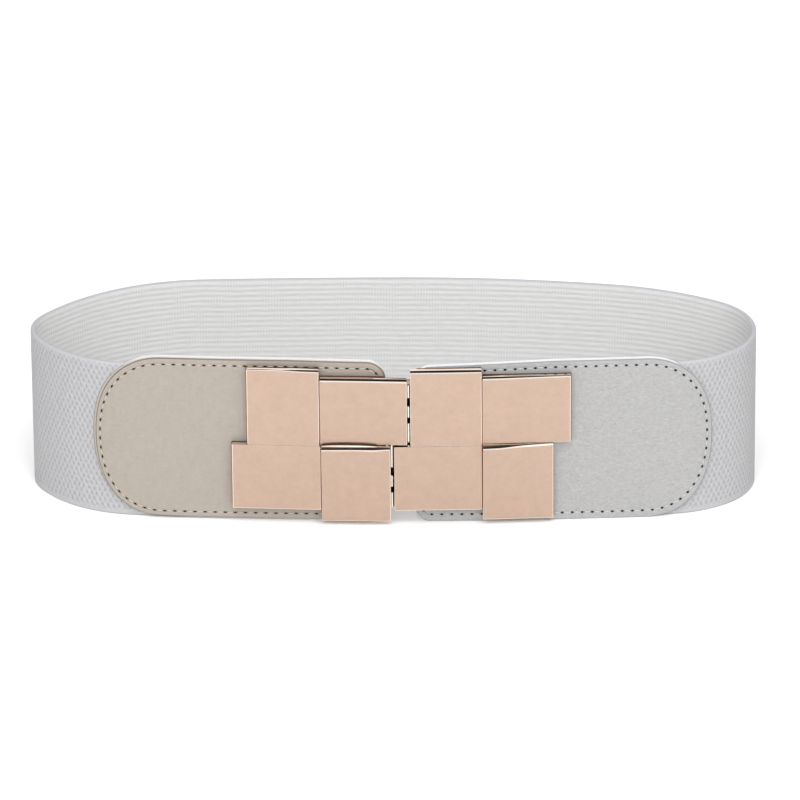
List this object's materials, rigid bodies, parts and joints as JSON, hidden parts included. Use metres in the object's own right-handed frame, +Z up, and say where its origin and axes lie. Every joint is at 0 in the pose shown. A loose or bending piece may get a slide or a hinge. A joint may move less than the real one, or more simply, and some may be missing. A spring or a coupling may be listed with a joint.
{
  "type": "wide belt",
  "caption": "Wide elastic waist belt closed round in an oval, with two round-ended leather tabs and an interlocking metal clasp of stepped tiles.",
  "frame": {"origin": "on the ground under the middle of the belt's bounding box", "axes": "+Z up, the belt standing on its lower edge; +X along the belt's width; the clasp faces -Y"},
  "size_m": [0.2612, 0.0874, 0.0634],
  "materials": {
    "elastic": "woven elastic webbing, pale lilac grey",
    "leather_warm": "pearl leather, warm grey, stitched",
    "leather_cool": "pearl leather, silver grey, fine grain, stitched",
    "backing": "smooth white backing leather",
    "clasp_metal": "rose gold plating, satin faces and bright edges",
    "rivet_metal": "plain nickel"
  },
  "bodies": {
    "root": {"elastic_band": "elastic", "tab_face_left": "leather_warm", "tab_face_right": "leather_cool", "tab_back_left": "backing", "tab_back_right": "backing", "clasp_left": "clasp_metal", "clasp_right": "clasp_metal", "rivet_left_lower": "rivet_metal", "rivet_left_upper": "rivet_metal", "rivet_right_lower": "rivet_metal", "rivet_right_upper": "rivet_metal"}
  },
  "joints": []
}
